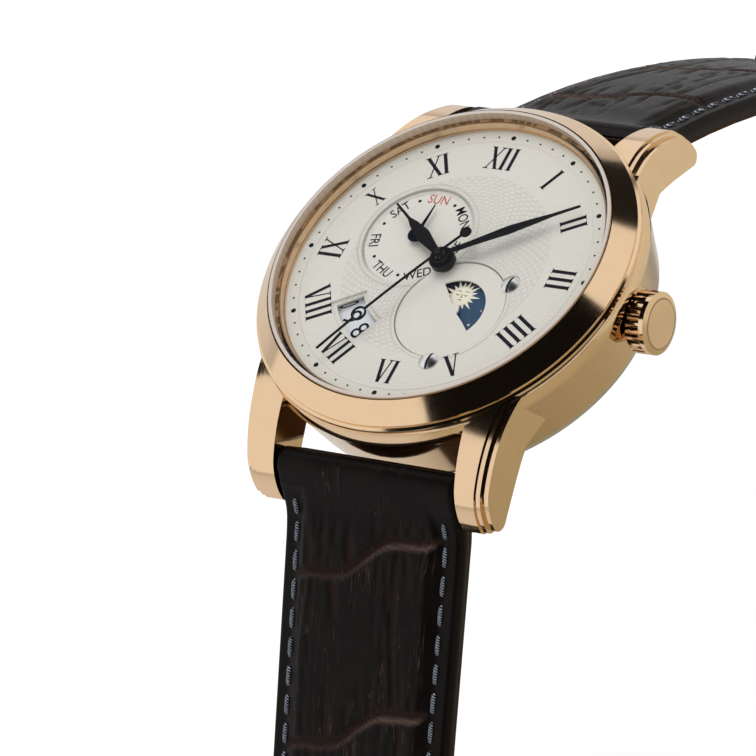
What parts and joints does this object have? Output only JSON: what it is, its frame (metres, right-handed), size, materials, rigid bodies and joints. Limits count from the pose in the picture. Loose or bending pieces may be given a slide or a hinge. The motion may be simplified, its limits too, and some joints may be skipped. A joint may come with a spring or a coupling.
{
  "type": "wristwatch",
  "caption": "Automatic wristwatch with a sun and moon disc, day sub-dial, date window, fluted crown, display case back and padded leather strap with pin buckle.",
  "frame": {"origin": "centre of the case back's outer face", "axes": "+Z out through the dial, +X to the crown at 3 o'clock, +Y to 12 o'clock"},
  "size_m": [0.0448, 0.1307, 0.0777],
  "materials": {
    "rose_gold_steel": "polished rose gold plate on steel",
    "steel": "satin steel",
    "blued_steel": "blued",
    "polished_screw": "polished",
    "dial_metal": "silvered",
    "moon_metal": "printed blue",
    "hand_metal": "gloss black",
    "rhodium_brass": "rhodium plated",
    "wheel_brass": "gilt",
    "ruby": "polished",
    "sapphire": "clear",
    "gasket_rubber": "matt",
    "strap_leather": "padded, grained"
  },
  "bodies": {
    "case": {"case_middle": "rose_gold_steel", "bezel": "rose_gold_steel", "rehaut_ring": "dial_metal", "crystal": "sapphire", "crystal_gasket": "gasket_rubber", "caseback_ring": "steel", "caseback_gasket": "gasket_rubber", "caseback_glass": "sapphire", "movement_holder": "rhodium_brass", "main_plate": "rhodium_brass", "barrel_bridge": "rhodium_brass", "train_bridge": "rhodium_brass", "balance_cock": "rhodium_brass", "bridge_screws": "blued_steel", "jewels": "ruby", "dial": "dial_metal", "moon_subdial": "dial_metal", "dial_screws": "polished_screw", "crown_tube": "steel", "rotor_bearing": "steel", "rotor_screw": "steel", "spring_bar_upper": "steel", "spring_bar_lower": "steel"},
    "clutch": {"sliding_pinion": "steel"},
    "crown": {"crown": "rose_gold_steel", "crown_gasket": "gasket_rubber", "winding_stem": "steel"},
    "crown_wheel": {"crown_wheel": "steel"},
    "ratchet": {"ratchet_wheel": "steel"},
    "seconds": {"seconds_hand": "hand_metal", "fourth_wheel": "wheel_brass"},
    "minute": {"minute_hand": "hand_metal", "cannon_pinion": "steel", "centre_wheel": "wheel_brass"},
    "minute_wheel": {"minute_wheel": "wheel_brass"},
    "hour": {"hour_hand": "hand_metal", "hour_wheel": "wheel_brass"},
    "moon": {"moon_disc": "moon_metal"},
    "third": {"third_wheel": "wheel_brass"},
    "escape": {"escape_wheel": "steel"},
    "great": {"great_wheel": "wheel_brass"},
    "barrel": {"barrel": "wheel_brass"},
    "fork": {"pallet_fork": "steel"},
    "balance": {"balance_wheel": "wheel_brass", "hairspring": "steel"},
    "day": {"day_star": "wheel_brass", "day_hand": "blued_steel"},
    "date": {"date_disc": "dial_metal"},
    "rotor": {"rotor": "rhodium_brass"},
    "strap_lower": {"strap_lower": "strap_leather"},
    "strap_upper": {"strap_upper": "strap_leather", "buckle_bar": "rose_gold_steel", "fixed_keeper": "strap_leather"},
    "sliding_keeper": {"sliding_keeper": "strap_leather"},
    "buckle": {"buckle_frame": "rose_gold_steel"},
    "tongue": {"buckle_tongue": "rose_gold_steel"},
    "pin_upper_left": {"spring_bar_upper_left_pin": "steel"},
    "pin_upper_right": {"spring_bar_upper_right_pin": "steel"},
    "pin_lower_left": {"spring_bar_lower_left_pin": "steel"},
    "pin_lower_right": {"spring_bar_lower_right_pin": "steel"}
  },
  "joints": [
    {"name": "crown_spin", "type": "hinge", "parent": "case", "child": "clutch", "pos_m": [0, 0, 0.005], "axis": [1, 0, 0], "continuous": true},
    {"name": "crown_pull", "type": "slide", "parent": "clutch", "child": "crown", "axis": [1, 0, 0], "range_m": [0, 0.0015]},
    {"name": "crown_wheel_spin", "type": "hinge", "parent": "case", "child": "crown_wheel", "pos_m": [0.0093, 0.00175, 0], "axis": [0, 0, 1], "continuous": true},
    {"name": "ratchet_spin", "type": "hinge", "parent": "case", "child": "ratchet", "pos_m": [0.00551, 0.00551, 0], "axis": [0, 0, 1], "continuous": true},
    {"name": "seconds_spin", "type": "hinge", "parent": "case", "child": "seconds", "pos_m": [0, 0, 0], "axis": [0, 0, 1], "continuous": true},
    {"name": "minute_spin", "type": "hinge", "parent": "case", "child": "minute", "pos_m": [0, 0, 0], "axis": [0, 0, 1], "continuous": true},
    {"name": "minute_wheel_spin", "type": "hinge", "parent": "case", "child": "minute_wheel", "pos_m": [0.0017, 0.0017, 0], "axis": [0, 0, 1], "continuous": true},
    {"name": "hour_spin", "type": "hinge", "parent": "case", "child": "hour", "pos_m": [0, 0, 0], "axis": [0, 0, 1], "continuous": true},
    {"name": "moon_spin", "type": "hinge", "parent": "case", "child": "moon", "pos_m": [0.00335, -0.00536, 0], "axis": [0, 0, 1], "continuous": true},
    {"name": "third_spin", "type": "hinge", "parent": "case", "child": "third", "pos_m": [0.00283, -0.00283, 0], "axis": [0, 0, 1], "continuous": true},
    {"name": "escape_spin", "type": "hinge", "parent": "case", "child": "escape", "pos_m": [-0.00377, -0.00101, 0], "axis": [0, 0, 1], "continuous": true},
    {"name": "great_spin", "type": "hinge", "parent": "case", "child": "great", "pos_m": [0.00148, 0.00148, 0], "axis": [0, 0, 1], "continuous": true},
    {"name": "barrel_spin", "type": "hinge", "parent": "case", "child": "barrel", "pos_m": [0.00551, 0.00551, 0], "axis": [0, 0, 1], "continuous": true},
    {"name": "fork_rock", "type": "hinge", "parent": "case", "child": "fork", "pos_m": [-0.00589, -0.00158, 0], "axis": [0, 0, 1], "range_deg": [-5, 5]},
    {"name": "balance_swing", "type": "hinge", "parent": "case", "child": "balance", "pos_m": [-0.00831, -0.00223, 0], "axis": [0, 0, 1], "range_deg": [-135, 135], "stiffness_Nm_per_rad": 0.0000003, "deforming": ["hairspring"]},
    {"name": "day_spin", "type": "hinge", "parent": "case", "child": "day", "pos_m": [-0.0049, 0.003, 0], "axis": [0, 0, 1], "continuous": true},
    {"name": "date_spin", "type": "hinge", "parent": "case", "child": "date", "pos_m": [0, 0, 0], "axis": [0, 0, 1], "continuous": true},
    {"name": "rotor_spin", "type": "hinge", "parent": "case", "child": "rotor", "pos_m": [0, 0, 0], "axis": [0, 0, 1], "continuous": true},
    {"name": "strap_lower_hinge", "type": "hinge", "parent": "case", "child": "strap_lower", "pos_m": [0, -0.0225, 0.004], "axis": [1, 0, 0], "range_deg": [-45, 12]},
    {"name": "strap_upper_hinge", "type": "hinge", "parent": "case", "child": "strap_upper", "pos_m": [0, 0.0225, 0.004], "axis": [1, 0, 0], "range_deg": [-20, 45]},
    {"name": "keeper_slide", "type": "slide", "parent": "strap_upper", "child": "sliding_keeper", "axis": [0, 0.309, -0.9511], "range_m": [0, 0.0024]},
    {"name": "buckle_hinge", "type": "hinge", "parent": "strap_upper", "child": "buckle", "pos_m": [0, 0.06781, -0.05313], "axis": [1, 0, 0], "range_deg": [-80, 40]},
    {"name": "tongue_hinge", "type": "hinge", "parent": "buckle", "child": "tongue", "pos_m": [0, 0.06781, -0.05313], "axis": [1, 0, 0], "range_deg": [0, 60]},
    {"name": "pin_upper_left_press", "type": "slide", "parent": "case", "child": "pin_upper_left", "axis": [1, 0, 0], "range_m": [0, 0.001], "stiffness_N_per_m": 500},
    {"name": "pin_upper_right_press", "type": "slide", "parent": "case", "child": "pin_upper_right", "axis": [-1, 0, 0], "range_m": [0, 0.001], "stiffness_N_per_m": 500},
    {"name": "pin_lower_left_press", "type": "slide", "parent": "case", "child": "pin_lower_left", "axis": [1, 0, 0], "range_m": [0, 0.001], "stiffness_N_per_m": 500},
    {"name": "pin_lower_right_press", "type": "slide", "parent": "case", "child": "pin_lower_right", "axis": [-1, 0, 0], "range_m": [0, 0.001], "stiffness_N_per_m": 500}
  ],
  "couplings": [
    {"joint": "minute_spin", "follows": "seconds_spin", "ratio": 0.016667},
    {"joint": "minute_wheel_spin", "follows": "seconds_spin", "ratio": -0.0055556},
    {"joint": "hour_spin", "follows": "seconds_spin", "ratio": 0.0013889},
    {"joint": "moon_spin", "follows": "seconds_spin", "ratio": -0.00069444},
    {"joint": "third_spin", "follows": "seconds_spin", "ratio": -0.125},
    {"joint": "escape_spin", "follows": "seconds_spin", "ratio": -10},
    {"joint": "great_spin", "follows": "seconds_spin", "ratio": -0.0125},
    {"joint": "barrel_spin", "follows": "seconds_spin", "ratio": 0.0033333},
    {"joint": "crown_wheel_spin", "follows": "crown_spin", "ratio": 0.5},
    {"joint": "ratchet_spin", "follows": "crown_spin", "ratio": -0.3}
  ]
}
